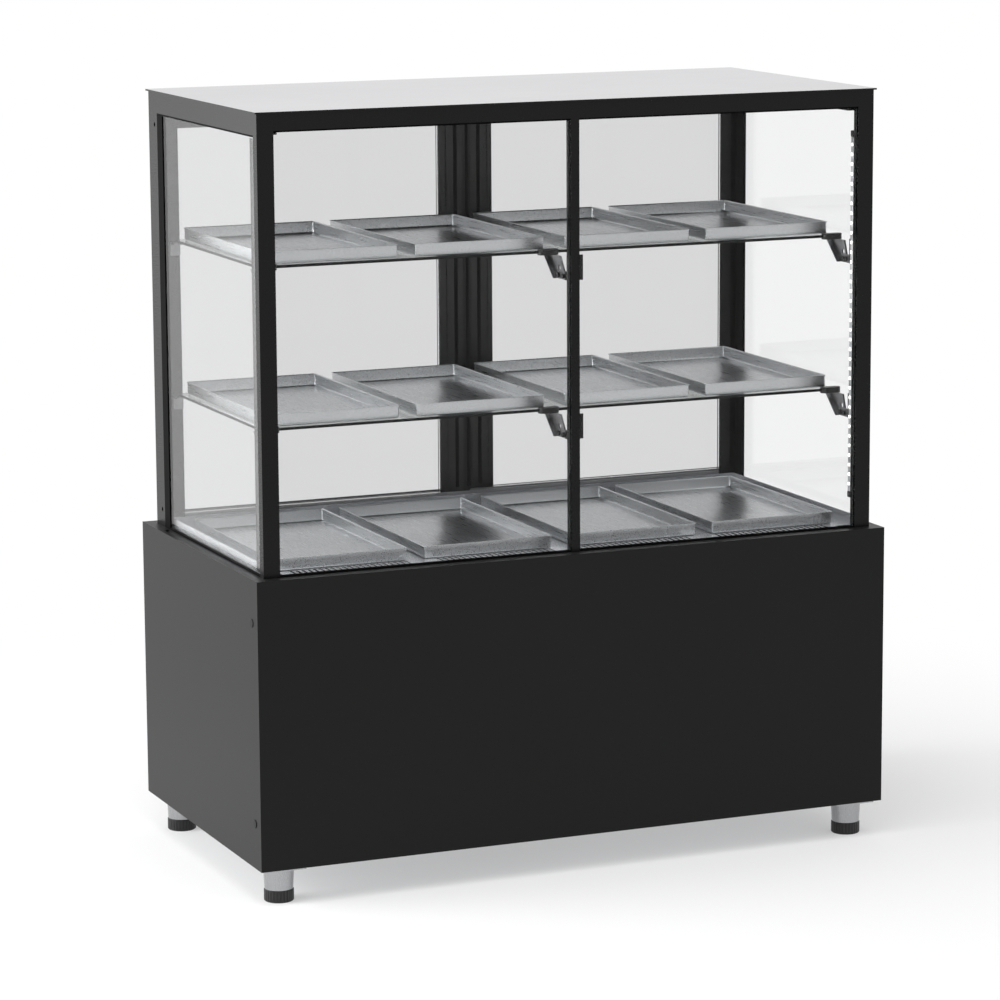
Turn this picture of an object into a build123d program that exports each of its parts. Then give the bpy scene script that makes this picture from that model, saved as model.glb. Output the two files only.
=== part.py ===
from build123d import *
import os
from math import cos, radians, sin

# Whole case, in millimetres; the origin is on the floor under the middle of the cabinet
case_width = 1200.0
case_depth = 620.0
leg_height = 65.0
cabinet_height = 507.0
display_height = 787.0
top_panel_thickness = 3.0
top_panel_overhang = 4.0

# Clearances
seat_gap = 0.3
sliding_gap = 0.5
thread_gap = 0.05

# Cabinet sheet metal
sheet = 1.5
fold = 25.0
rear_panel_inset = 6.0
rear_wrap = 24.0
rim_thickness = 2.0
opening_side_margin = 14.0
opening_front_margin = 13.0
opening_rear_margin = 6.0
post_slot_width = 10.0
post_slot_length = 26.0
post_slot_gap = 2.0
post_slot_setback = 74.0

# Cooling well and display deck
well_wall = 18.0
well_depth = 152.0
ledge_width = 8.0
ledge_height = 10.0
deck_recess = 2.0
deck_upstand = 20.0
slot_width = 4.5
slot_pitch = 10.6
slot_length = 34.0
slot_front_margin = 11.0
slots_per_group = 21
slot_group_places = (132.5, 405.0)
wire_hole_length = 24.0
wire_hole_width = 12.0
wire_hole_front_margin = 14.0
wire_hole_side_margin = 7.5

# Display frame
frame_side_setback = 20.0
frame_front_setback = 21.0
frame_rear_setback = 26.0
front_post_width = 30.0
front_post_depth = 18.0
tube_wall = 2.0
mullion_width = 16.0
mullion_depth = 20.0
front_rail_height = 29.0
side_rail_height = 37.0
rear_rail_height = 37.0
rear_post_width = 42.0
rear_post_wall = 3.0
rear_post_hole_radius = 4.0
rear_post_hole_inset = 58.0
rear_post_low_hole = 31.0
rear_post_hole_setback = 14.0

# Fixed glass and its seals
pane_thickness = 6.0
front_pane_inset = 4.0
side_pane_inset = 1.5
seal_height = 3.0
seal_lip = 1.5
seal_floor = 1.0
rear_seal_width = 28.0
rear_seal_grip = 8.0

# Sliding doors and their tracks
door_thickness = 14.0
lane_clearance = 1.5
fin_thickness = 2.0
track_base = 4.0
bottom_track_height = 22.0
top_track_height = 22.0
door_lift_clearance = 8.0
door_rail_height = 17.0
outer_stile_width = 24.0
meeting_stile_width = 59.0
meeting_overlap = 4.0
meeting_offset = 20.0
door_glass_thickness = 5.0
finger_groove_width = 14.0
finger_groove_depth = 5.0
finger_groove_inset = 12.0
bead_width = 7.0
bead_depth = 3.0

# Glass shelves, their brackets and rests
shelf_thickness = 5.0
middle_shelf_height = 244.0
upper_shelf_height = 523.0
shelf_front_setback = 80.0
shelf_side_gap = 24.5
shelf_corner_radius = 6.0
mullion_plate_width = 30.0
side_plate_width = 22.0
mullion_plate_offset = 8.0
bracket_plate_thickness = 3.0
bracket_plate_drop = 3.0
bracket_height = 44.0
bolt_rise = 6.5
bolt_foot_reach = 12.0
bolt_setback = 24.0
arm_thickness = 3.0
arm_foot_height = 15.0
arm_neck_reach = 11.0
arm_front_reach = 29.0
arm_rear_reach = 27.0
arm_low_setback = 16.0
arm_hole_setback = 26.0
arm_hole_rise = 19.0
arm_lip_width = 8.0
arm_hole_radius = 5.0
clip_width = 38.0
clip_jaw = 2.5
clip_reach = 7.0
clip_front = 9.0
clip_offset = 12.0
clip_corner_radius = 7.0
bolt_radius = 4.5
bolt_head = 3.5
rest_width = 18.0
rest_reach = 20.0
rest_drop = 24.0
rest_thickness = 3.0

# Trays
tray_height = 22.5
tray_wall = 1.2
tray_hem = 1.0
tray_hem_height = 3.5
tray_corner_radius = 3.0
least_tray_radius = 0.5
tray_gap = 29.4
tray_centre_gap = 36.8
tray_side_margin = 10.3
tray_front_margin = 9.0
tray_rear_margin = 15.0
deck_tray_front_margin = 47.0
tiers = ("deck", "middle", "upper")
trays_per_tier = 4

# Light strips on the front posts
led_width = 10.0
led_body = 8.0
led_chip = 5.0
led_chip_height = 1.5
led_pitch = 17.5
led_bottom_margin = 52.0
led_top_margin = 44.0

# Legs and levelling feet
leg_inset_side = 48.0
leg_inset_front = 48.0
leg_plate_size = 75.0
leg_plate_thickness = 5.0
leg_top_radius = 27.0
leg_bottom_radius = 25.0
foot_height = 22.0
foot_radius = 26.0
foot_edge = 1.5
foot_flutes = 28
flute_radius = 1.1
stud_radius = 5.0
stud_length = 38.0

# Refrigeration set
fin_sheet = 1.0
coil_tube_radius = 5.0
coil_tube_setback = 16.0
coil_rows = 4
coil_end_plate = 2.0
evaporator_width = 600.0
evaporator_depth = 70.0
evaporator_height = 118.0
evaporator_rear_gap = 38.0
evaporator_fin_pitch = 12.0
condenser_width = 320.0
condenser_depth = 60.0
condenser_height = 250.0
condenser_left_gap = 160.0
condenser_rear_gap = 12.0
condenser_fin_pitch = 8.0
shroud_plate = 2.0
shroud_spacer = 6.0
fan_blades = 5
fan_blade_thickness = 1.6
fan_blade_pitch = 26.0
fan_blade_chord_share = 0.8
fan_blade_root = 4.0
fan_tip_gap = 4.0
condenser_fan_radius = 105.0
evaporator_fan_radius = 48.0
evaporator_shroud_width = 192.0
fan_hub_radius_share = 0.3
fan_depth_share = 0.32
fan_shaft_radius = 3.0
fan_shaft_gap = 0.05
motor_depth = 24.0
motor_strut_depth = 12.0
motor_strut_height = 14.0
compressor_radius = 82.0
compressor_height = 190.0
compressor_x = 340.0
compressor_y = 40.0
compressor_base_size = 190.0
compressor_base_plate = 3.0
compressor_dome = 36.0
terminal_box_width = 50.0
terminal_box_height = 60.0
terminal_box_reach = 10.0
terminal_box_depth = 26.0
terminal_box_rise = 50.0
mount_height = 14.0
mount_radius = 11.0
pipe_radius = 4.0
pipe_bend = 22.0
pipe_straight = 11.0

# Rear panel fittings
louvre_width = 86.0
louvre_height = 7.0
louvre_pitch = 18.0
louvre_rows = 12
louvre_columns = 3
louvre_column_pitch = 104.0
louvre_hood = 3.0
controller_width = 78.0
controller_height = 36.0
controller_bezel = 3.0
controller_depth = 50.0
controller_x = 470.0
controller_drop = 60.0
controller_lip = 4.0
controller_corner_radius = 2.0
controller_keys_width = 24.0
controller_window_depth = 1.5
switch_gap = 14.0
switch_bezel_width = 24.0
switch_bezel_height = 22.0
switch_body_depth = 20.0
rocker_width = 17.0
rocker_height = 12.0
rocker_depth = 9.0
rocker_tilt = 8.0
rocker_play = 0.4
rocker_pin_radius = 1.5
inlet_width = 48.0
inlet_height = 27.0
inlet_bezel = 3.0
inlet_depth = 26.0
inlet_lip = 3.5
inlet_side_wall = 3.5
inlet_top_wall = 1.75
inlet_cavity_depth = 18.0
inlet_pin_length = 10.0
inlet_pin_width = 2.0
inlet_pin_height = 4.0
inlet_pin_pitch = 7.0
inlet_rise = 62.0

# Screws
side_screw_radius = 7.5
side_screw_head = 1.2
side_screw_front_inset = 29.0
side_screw_top_inset = 76.0
side_screw_bottom_inset = 79.5
rear_screw_inset = 14.0
rear_screw_side_inset = 28.0
rear_screw_radius = 4.0
rear_screw_columns = 4
screw_dome_share = 0.7
mullion_screw_radius = 2.6
mullion_screw_head = 1.0
mullion_screw_low = 112.0
mullion_screw_high = 638.0

# Levels and planes that the sizes above give
half_width = case_width / 2
front = -case_depth / 2
rear = case_depth / 2
cabinet_bottom = leg_height
rim_top = leg_height + cabinet_height
frame_top = rim_top + display_height
frame_half = half_width - frame_side_setback
frame_front = front + frame_front_setback
frame_rear = rear - frame_rear_setback
lane_width = door_thickness + 2 * lane_clearance
rear_post_depth = 2 * rear_post_wall + 3 * fin_thickness + 2 * lane_width
rear_post_front = frame_rear - rear_post_depth
track_front = rear_post_front + rear_post_wall
track_rear = track_front + 3 * fin_thickness + 2 * lane_width
front_post_rear = frame_front + front_post_depth
post_inner = frame_half - front_post_width
side_rail_bottom = frame_top - side_rail_height
front_rail_bottom = frame_top - front_rail_height
rim_underside = rim_top - rim_thickness
opening_half = frame_half - opening_side_margin
opening_front = frame_front + opening_front_margin
opening_rear = rear_post_front - opening_rear_margin
deck_top = rim_top - deck_recess
deck_underside = deck_top - sheet
well_floor_top = rim_underside - well_depth
pane_outer = frame_half - side_pane_inset
pane_inner = pane_outer - pane_thickness
front_pane_outer = frame_front + front_pane_inset
front_pane_inner = front_pane_outer + pane_thickness
rear_panel_outer = rear - rear_panel_inset
rear_panel_inner = rear_panel_outer - sheet
floor_top = cabinet_bottom + sheet
shelf_half = pane_inner - shelf_side_gap
shelf_front = frame_front + shelf_front_setback
shelf_rear = rear_post_front - rest_thickness - 2 * sliding_gap
shelf_tops = {"middle": rim_top + middle_shelf_height, "upper": rim_top + upper_shelf_height}
tray_width = (2 * (shelf_half - tray_side_margin) - tray_centre_gap - 2 * tray_gap) / trays_per_tier
tray_depth = shelf_rear - shelf_front - tray_front_margin - tray_rear_margin
tray_centres = [
    side * (tray_centre_gap / 2 + tray_width / 2 + step * (tray_width + tray_gap))
    for side, step in ((-1, 1), (-1, 0), (1, 0), (1, 1))
]


def block(x0, x1, y0, y1, z0, z1):
    """A box between two corners."""
    middle = Pos((x0 + x1) / 2, (y0 + y1) / 2, (z0 + z1) / 2)
    return middle * Box(x1 - x0, y1 - y0, z1 - z0)


def ring(half_x, y0, y1, z0, z1, wall):
    """An upright rectangular ring of the given wall, round the middle plane."""
    outside = block(-half_x, half_x, y0, y1, z0, z1)
    return outside - block(-half_x + wall, half_x - wall, y0 + wall, y1 - wall, z0, z1)


def rod_x(radius, x0, x1, y, z):
    """A round bar along X."""
    return Pos((x0 + x1) / 2, y, z) * Rot(0, 90, 0) * Cylinder(radius, x1 - x0)


def rod_y(radius, y0, y1, x, z):
    """A round bar along Y."""
    return Pos(x, (y0 + y1) / 2, z) * Rot(90, 0, 0) * Cylinder(radius, y1 - y0)


def rod_z(radius, z0, z1, x, y):
    """A round bar along Z."""
    return Pos(x, y, (z0 + z1) / 2) * Cylinder(radius, z1 - z0)


def both_sides(piece):
    """A piece and its mirror image across the middle plane."""
    return [piece, piece.mirror(Plane.YZ)]


def group(pieces):
    """Separate solids that share one node."""
    return Compound([solid for piece in pieces for solid in piece.solids()])


# Cabinet

def floor_pan():
    """The bottom sheet with an upturned edge that the panels are fixed to."""
    half = half_width - sheet
    pan = block(-half, half, front + sheet, rear_panel_inner, cabinet_bottom, floor_top)
    edge = ring(half, front + sheet, rear_panel_inner, floor_top, floor_top + fold, sheet)
    return pan + edge


def front_panel():
    return block(-half_width, half_width, front, front + sheet, cabinet_bottom, rim_top)


def left_panel():
    return block(-half_width, -half_width + sheet, front + sheet, rear - rear_wrap, cabinet_bottom, rim_top)


def louvres():
    """The places of the air slots in the rear panel, behind the condenser."""
    first_x = condenser_left() + condenser_width / 2 - louvre_column_pitch * (louvre_columns - 1) / 2
    first_z = floor_top + fold + louvre_pitch
    return [
        (first_x + louvre_column_pitch * column, first_z + louvre_pitch * row)
        for column in range(louvre_columns)
        for row in range(louvre_rows)
    ]


def rear_panel():
    """The service panel, set in from the rear edge, with side wraps, hooded slots and cut-outs."""
    half = half_width - sheet
    plate = block(-half, half, rear_panel_inner, rear_panel_outer, cabinet_bottom, rim_underside)
    wrap = block(-half_width, -half_width + sheet, rear - rear_wrap, rear, cabinet_bottom, rim_top)
    panel = plate + both_sides(wrap)
    slots = []
    hoods = []
    for x, z in louvres():
        x0, x1 = x - louvre_width / 2, x + louvre_width / 2
        slots.append(block(x0, x1, rear_panel_inner, rear_panel_outer, z, z + louvre_height))
        top = z + louvre_height
        hood = block(x0, x1, rear_panel_outer, rear_panel_outer + louvre_hood, top, top + sheet)
        hoods.append(hood)
    cuts = [
        controller_cut(sliding_gap),
        switch_cut(sliding_gap),
        inlet_cut(sliding_gap),
    ]
    return panel + hoods - slots - cuts


def top_rim():
    """The folded frame that carries the posts and the glass, with a slot by each rear post."""
    half = half_width - sheet
    y0, y1 = front + sheet, rear - sheet
    plate = block(-half, half, y0, y1, rim_underside, rim_top)
    plate -= block(-opening_half, opening_half, opening_front, opening_rear, rim_underside, rim_top)
    drop = rim_underside - fold
    front_fold = block(-half, half, y0, y0 + sheet, drop, rim_underside)
    side_fold = block(-half, -half + sheet, y0, rear - rear_wrap, drop, rim_underside)
    inner = half - sheet
    rear_fold = block(-inner, inner, rear_panel_inner - sheet, rear_panel_inner, drop, rim_underside)
    slot_x = -frame_half - post_slot_gap
    slot_y = frame_rear - post_slot_setback
    slot = block(slot_x - post_slot_width, slot_x, slot_y - post_slot_length, slot_y, rim_underside, rim_top)
    return plate + front_fold + both_sides(side_fold) + rear_fold - both_sides(slot)


def cooling_well():
    """The insulated tub under the deck: a floor and four walls, with the ledges that the deck lies on."""
    half = opening_half + well_wall
    y0, y1 = opening_front - well_wall, opening_rear + well_wall
    bottom = well_floor_top - well_wall
    hole_radius = pipe_radius + sliding_gap
    holes = [rod_z(hole_radius, bottom, well_floor_top, x, y) for x, y in pipe_holes()]
    floor = block(-half, half, y0, y1, bottom, well_floor_top) - holes
    ledge_bottom = deck_underside - ledge_height
    ledge_front, ledge_rear = opening_front + ledge_width, opening_rear - ledge_width
    front_wall = block(-half, half, y0, opening_front, well_floor_top, rim_underside)
    front_wall += block(-opening_half, opening_half, opening_front, ledge_front, ledge_bottom, deck_underside)
    rear_wall = block(-half, half, opening_rear, y1, well_floor_top, rim_underside)
    rear_wall += block(-opening_half, opening_half, ledge_rear, opening_rear, ledge_bottom, deck_underside)
    side_wall = block(-half, -opening_half, opening_front, opening_rear, well_floor_top, rim_underside)
    side_wall += block(-opening_half, -opening_half + ledge_width, ledge_front, ledge_rear,
                       ledge_bottom, deck_underside)
    return group([floor, front_wall, rear_wall] + both_sides(side_wall))


def deck_slots():
    """Groups of cold air slots along the front of the deck."""
    y0 = opening_front + slot_front_margin
    y1 = y0 + slot_length
    half = slot_width / 2
    slots = []
    for place in slot_group_places:
        for index in range(slots_per_group):
            x = place + (index - (slots_per_group - 1) / 2) * slot_pitch
            slots += both_sides(block(x - half, x + half, y0, y1, deck_underside, deck_top))
    return slots


def display_deck():
    """The polished floor of the display, with upturned sides and back, air slots and two wire holes."""
    x = opening_half - sliding_gap
    y1 = opening_rear - sliding_gap
    deck = block(-x, x, opening_front + sliding_gap, y1, deck_underside, deck_top)
    upstand_top = deck_top + deck_upstand
    side_upstand = block(x - sheet, x, front_post_rear + sliding_gap, y1, deck_top, upstand_top)
    rear_upstand = block(-x, x, y1 - sheet, y1, deck_top, upstand_top)
    hole_x = x - wire_hole_side_margin
    hole_y = opening_front + wire_hole_front_margin
    hole = block(hole_x - wire_hole_length, hole_x, hole_y, hole_y + wire_hole_width,
                 deck_underside, deck_top)
    return deck + both_sides(side_upstand) + rear_upstand - deck_slots() - both_sides(hole)


# Legs

def leg_places():
    x = half_width - leg_inset_side
    y = -front - leg_inset_front
    return {"front_left": (-x, -y), "front_right": (x, -y), "rear_left": (-x, y), "rear_right": (x, y)}


def leg_sleeve(x, y):
    """A tapered sleeve under a square plate, threaded for the foot's stud."""
    plate_bottom = cabinet_bottom - leg_plate_thickness
    half = leg_plate_size / 2
    plate = block(x - half, x + half, y - half, y + half, plate_bottom, cabinet_bottom)
    length = plate_bottom - foot_height
    cone = Pos(x, y, foot_height + length / 2) * Cone(leg_bottom_radius, leg_top_radius, length)
    bore = rod_z(stud_radius + thread_gap, foot_height, cabinet_bottom, x, y)
    return plate + cone - bore


def levelling_foot(x, y):
    """A fluted foot with its stud, screwed right in at rest."""
    pad = rod_z(foot_radius, 0, foot_height - seat_gap, x, y)
    pad = chamfer(pad.edges().filter_by(GeomType.CIRCLE), foot_edge)
    flutes = []
    for index in range(foot_flutes):
        angle = radians(360 * index / foot_flutes)
        flute_x, flute_y = x + foot_radius * cos(angle), y + foot_radius * sin(angle)
        flutes.append(rod_z(flute_radius, 0, foot_height, flute_x, flute_y))
    stud = rod_z(stud_radius, foot_height - seat_gap, foot_height - seat_gap + stud_length, x, y)
    return pad - flutes + stud


# Display frame

def front_post():
    """The left front post, a square tube."""
    post = block(-frame_half, -post_inner, frame_front, front_post_rear, rim_top, front_rail_bottom)
    bore = block(-frame_half + tube_wall, -post_inner - tube_wall, frame_front + tube_wall,
                 front_post_rear - tube_wall, rim_top, front_rail_bottom)
    return post - bore


def rear_post():
    """The left rear post, an angle whose front leg hides the end of the doors."""
    web = block(-frame_half, -frame_half + rear_post_wall, rear_post_front, frame_rear, rim_top, frame_top)
    leg = block(-frame_half, -frame_half + rear_post_width, rear_post_front, track_front, rim_top, frame_top)
    hole_y = rear_post_front + rear_post_hole_setback
    holes = [
        rod_x(rear_post_hole_radius, -frame_half, -frame_half + rear_post_wall, hole_y, z)
        for z in (rim_top + rear_post_low_hole, frame_top - rear_post_hole_inset)
    ]
    return web + leg - holes


def centre_mullion():
    """The slim upright tube between the two front panes, drilled for its screws."""
    half = mullion_width / 2
    back = frame_front + mullion_depth
    tube = block(-half, half, frame_front, back, rim_top, front_rail_bottom)
    inside = half - tube_wall
    wall_back = frame_front + tube_wall
    tube -= block(-inside, inside, wall_back, back - tube_wall, rim_top, front_rail_bottom)
    holes = [rod_y(mullion_screw_radius, frame_front, wall_back, 0, z) for z in mullion_screw_levels()]
    return tube - holes


def channel(x0, x1, y0, y1, z0, z1):
    """A folded channel with closed ends, open at the top under the roof panel."""
    inside = block(x0 + tube_wall, x1 - tube_wall, y0 + tube_wall, y1 - tube_wall, z0 + tube_wall, z1)
    return block(x0, x1, y0, y1, z0, z1) - inside


def front_top_rail():
    return channel(-frame_half, frame_half, frame_front, front_post_rear, front_rail_bottom, frame_top)


def side_top_rail():
    inner = -frame_half + rear_post_width
    return channel(-frame_half, inner, front_post_rear, rear_post_front, side_rail_bottom, frame_top)


def rear_top_rail():
    """The channel over the doors, with an apron that hides the top track."""
    inner = frame_half - rear_post_wall
    rail = channel(-inner, inner, track_front, frame_rear, frame_top - rear_rail_height, frame_top)
    apron_half = frame_half - rear_post_width
    drop = frame_top - rear_rail_height - top_track_height
    apron = block(-apron_half, apron_half, rear_post_front, track_front, drop, frame_top)
    return rail + apron


def top_panel():
    x = frame_half + top_panel_overhang
    y0, y1 = frame_front - top_panel_overhang, frame_rear + top_panel_overhang
    return block(-x, x, y0, y1, frame_top, frame_top + top_panel_thickness)


# Fixed glass

def pane_bottom():
    return rim_top + seal_floor


def front_pane():
    """The left front pane."""
    x0, x1 = -post_inner + sliding_gap, -mullion_width / 2 - sliding_gap
    return block(x0, x1, front_pane_outer, front_pane_inner, pane_bottom(), front_rail_bottom - seal_floor)


def side_seal_span():
    """The front and rear ends of the side seals."""
    return front_post_rear + sliding_gap, rear_post_front - sliding_gap


def side_pane():
    """The left side pane, whose rear edge sits in the wide seal."""
    y0, y1 = side_seal_span()
    pane_rear = y1 - rear_seal_width + rear_seal_grip
    return block(-pane_outer, -pane_inner, y0, pane_rear, pane_bottom(), side_rail_bottom - seal_floor)


def seal_strip(x0, x1, y0, y1, z0, z1, pane):
    """A grooved seal round one edge of a pane."""
    return block(x0, x1, y0, y1, z0, z1) - pane


def glass_seals():
    """Seals along the foot and the head of each pane, and a wide one down the rear edge of the side glass."""
    front_glass, side_glass = front_pane(), side_pane()
    fx0, fx1 = -post_inner + sliding_gap, -mullion_width / 2 - sliding_gap
    fy0, fy1 = front_pane_outer - seal_lip, front_pane_inner + seal_lip
    sx0, sx1 = -pane_outer - seal_lip, -pane_inner + seal_lip
    sy0, sy1 = side_seal_span()
    upright_bottom = rim_top + seal_height + sliding_gap
    upright_top = side_rail_bottom - seal_height - sliding_gap
    strips = [
        seal_strip(fx0, fx1, fy0, fy1, rim_top, rim_top + seal_height, front_glass),
        seal_strip(fx0, fx1, fy0, fy1, front_rail_bottom - seal_height, front_rail_bottom, front_glass),
        seal_strip(sx0, sx1, sy0, sy1, rim_top, rim_top + seal_height, side_glass),
        seal_strip(sx0, sx1, sy0, sy1, side_rail_bottom - seal_height, side_rail_bottom, side_glass),
        seal_strip(sx0, sx1, sy1 - rear_seal_width, sy1, upright_bottom, upright_top, side_glass),
    ]
    return group([piece for strip in strips for piece in both_sides(strip)])


# Doors

def door_track(z_base, z_edge, y0):
    """A two-lane track: a base strip with three fins towards the doors."""
    x = frame_half - rear_post_wall - sliding_gap
    fin_tip = z_base + track_base if z_edge > z_base else z_base - track_base
    strip = block(-x, x, y0, track_rear, min(z_base, fin_tip), max(z_base, fin_tip))
    fins = []
    for lane in range(3):
        fin_y = y0 + lane * (fin_thickness + lane_width)
        fins.append(block(-x, x, fin_y, fin_y + fin_thickness, min(z_base, z_edge), max(z_base, z_edge)))
    return strip + fins


def bottom_track():
    return door_track(rim_top, rim_top + bottom_track_height, track_front)


def top_track():
    head = frame_top - rear_rail_height
    return door_track(head, head - top_track_height, track_front)


def door_span(side):
    """The door's left and right ends; side is -1 for the left door and 1 for the right one."""
    end = frame_half - rear_post_wall - 2 * sliding_gap
    if side < 0:
        return -end, meeting_offset + meeting_overlap / 2
    return meeting_offset - meeting_overlap / 2, end


def door_levels():
    bottom = rim_top + track_base + seat_gap
    top = frame_top - rear_rail_height - track_base - door_lift_clearance
    return bottom, top


def door_lane(side):
    """The front and rear faces of a door; the left door runs in the inner lane."""
    lane = 0 if side < 0 else 1
    y0 = track_front + fin_thickness + lane_clearance + lane * (fin_thickness + lane_width)
    return y0, y0 + door_thickness


def door_window(side):
    """The glazed opening of a door: its ends and levels."""
    x0, x1 = door_span(side)
    z0, z1 = door_levels()
    if side < 0:
        return x0 + outer_stile_width, x1 - meeting_stile_width, z0 + door_rail_height, z1 - door_rail_height
    return x0 + meeting_stile_width, x1 - outer_stile_width, z0 + door_rail_height, z1 - door_rail_height


def door_frame(side):
    """A door's frame, with a finger groove down the outside of its meeting stile and beads inside."""
    x0, x1 = door_span(side)
    y0, y1 = door_lane(side)
    z0, z1 = door_levels()
    wx0, wx1, wz0, wz1 = door_window(side)
    frame = block(x0, x1, y0, y1, z0, z1) - block(wx0, wx1, y0, y1, wz0, wz1)
    edge = wx1 if side < 0 else wx0
    direction = 1 if side < 0 else -1
    near = edge + direction * finger_groove_inset
    far = near + direction * finger_groove_width
    grooves = [block(min(near, far), max(near, far), y1 - finger_groove_depth, y1, wz0, wz1)]
    for step in (finger_groove_inset, meeting_stile_width - finger_groove_inset):
        middle = edge + direction * step
        grooves.append(block(middle - bead_width / 2, middle + bead_width / 2, y0, y0 + bead_depth, wz0, wz1))
    return frame - grooves


def door_glass(side):
    wx0, wx1, wz0, wz1 = door_window(side)
    y0, y1 = door_lane(side)
    middle = (y0 + y1) / 2
    half = door_glass_thickness / 2
    return block(wx0 + seat_gap, wx1 - seat_gap, middle - half, middle + half, wz0 + seat_gap, wz1 - seat_gap)


# Shelves

def shelf_glass(tier):
    top = shelf_tops[tier]
    shelf = block(-shelf_half, shelf_half, shelf_front, shelf_rear, top - shelf_thickness, top)
    return fillet(shelf.edges().filter_by(Axis.Z), shelf_corner_radius)


def bracket_places():
    """For each front bracket: its back plate's left and right edges, the side of its lip, its seat."""
    side_outer = pane_inner - sliding_gap
    side_inner = side_outer - side_plate_width
    mullion_left = mullion_plate_offset - mullion_plate_width / 2
    side_back = front_post_rear + led_width
    return [
        (-side_outer, -side_inner, 1, side_back),
        (mullion_left, mullion_left + mullion_plate_width, -1, frame_front + mullion_depth),
        (side_inner, side_outer, -1, side_back),
    ]


def arm_left(plate_left, plate_right, lip_side):
    """The left face of an arm, which lies on the lip's side of its back plate."""
    return plate_left if lip_side < 0 else plate_right - arm_thickness


def bracket_packer(tier):
    """The left packer between the post and the back plate, beside the light strip."""
    x0, x1 = -pane_inner + sliding_gap, -post_inner - led_body - sliding_gap
    y1 = front_post_rear + led_width
    return block(x0, x1, front_post_rear, y1, plate_bottom(tier), plate_top(tier))


def plate_top(tier):
    return shelf_tops[tier] - bracket_plate_drop


def plate_bottom(tier):
    return plate_top(tier) - bracket_height


def clip_underside(tier):
    return shelf_tops[tier] - shelf_thickness - clip_jaw


def arm_profile(tier, back):
    """The arm's outline in the YZ plane: a slanting blade under the clip, with a foot on the back plate."""
    top, bottom = clip_underside(tier), plate_bottom(tier)
    foot = back + bracket_plate_thickness
    return [
        (foot, bottom),
        (foot, bottom + arm_foot_height),
        (foot + arm_neck_reach, bottom + arm_foot_height),
        (shelf_front - arm_front_reach, top),
        (shelf_front + arm_rear_reach, top),
        (shelf_front - arm_low_setback, bottom),
    ]


def shelf_bracket(tier, plate_left, plate_right, lip_side, post_back):
    """A back plate on the post, an arm under the shelf and the lip that stiffens its slanting edge."""
    arm_x = arm_left(plate_left, plate_right, lip_side)
    plate = block(plate_left, plate_right, post_back, post_back + bracket_plate_thickness,
                  plate_bottom(tier), plate_top(tier))
    profile = arm_profile(tier, post_back)
    outline = Polyline(*[(arm_x, y, z) for y, z in profile], close=True)
    arm = extrude(Face(Wire(outline.edges())), arm_thickness, dir=(1, 0, 0))
    (tip_y, tip_z), (low_y, low_z) = profile[-2], profile[-1]
    lip_x = arm_x - arm_lip_width if lip_side < 0 else arm_x + arm_thickness
    lip_outline = Polyline((lip_x, tip_y, tip_z), (lip_x, low_y, low_z),
                           (lip_x, low_y - arm_thickness, low_z),
                           (lip_x, tip_y - arm_thickness, tip_z), close=True)
    lip = extrude(Face(Wire(lip_outline.edges())), arm_lip_width, dir=(1, 0, 0))
    hole = rod_x(arm_hole_radius, arm_x, arm_x + arm_thickness, shelf_front - arm_hole_setback,
                 plate_bottom(tier) + arm_hole_rise)
    return plate + arm + lip - hole


def shelf_clip(tier, arm_x, lip_side):
    """The black clip that wraps the front edge of the shelf on top of an arm."""
    glass_top = shelf_tops[tier]
    middle = arm_x + arm_thickness / 2 + lip_side * clip_offset
    half = clip_width / 2
    y0, y1 = shelf_front - clip_front, shelf_front + clip_reach
    body = block(middle - half, middle + half, y0, y1, clip_underside(tier), glass_top + clip_jaw)
    body = fillet(body.edges().filter_by(Axis.Z), clip_corner_radius)
    slot = block(middle - half, middle + half, shelf_front, y1, glass_top - shelf_thickness, glass_top)
    return body - slot


def bracket_bolts(tier, arm_x, lip_side, post_back):
    """The two bolt heads on the lip side of an arm, low down."""
    z = plate_bottom(tier) + bolt_rise
    foot_bolt = post_back + bracket_plate_thickness + bolt_foot_reach
    x0 = arm_x - bolt_head if lip_side < 0 else arm_x + arm_thickness
    return [rod_x(bolt_radius, x0, x0 + bolt_head, y, z) for y in (foot_bolt, shelf_front - bolt_setback)]


def rear_rest(tier):
    """The left rear angle that the shelf's back corner lies on."""
    underside = shelf_tops[tier] - shelf_thickness
    x1 = -frame_half + rear_post_width
    x0 = x1 - rest_width
    leg = block(x0, x1, rear_post_front - rest_thickness, rear_post_front, underside - rest_drop, underside)
    ledge_end = -shelf_half + rest_width
    ledge_front = rear_post_front - rest_reach
    ledge = block(x0, ledge_end, ledge_front, rear_post_front, underside - rest_thickness, underside)
    return leg + ledge


# Trays

def tray_floor(tier):
    return deck_top + seat_gap if tier == "deck" else shelf_tops[tier] + seat_gap


def tray_front(tier):
    return opening_front + deck_tray_front_margin if tier == "deck" else shelf_front + tray_front_margin


def tray(tier, index):
    """A shallow sheet pan with a hemmed rim."""
    x, y, z = tray_centres[index], tray_front(tier) + tray_depth / 2, tray_floor(tier)
    outer = RectangleRounded(tray_width - 2 * tray_hem, tray_depth - 2 * tray_hem, tray_corner_radius)
    rim = RectangleRounded(tray_width, tray_depth, tray_corner_radius + tray_hem)
    inside = 2 * (tray_hem + tray_wall)
    inner = RectangleRounded(tray_width - inside, tray_depth - inside,
                             max(tray_corner_radius - tray_wall, least_tray_radius))
    pan = extrude(outer, tray_height)
    pan += Pos(0, 0, tray_height - tray_hem_height) * extrude(rim, tray_hem_height)
    pan -= Pos(0, 0, tray_wall) * extrude(inner, tray_height)
    return Pos(x, y, z) * pan


# Lights

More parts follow.
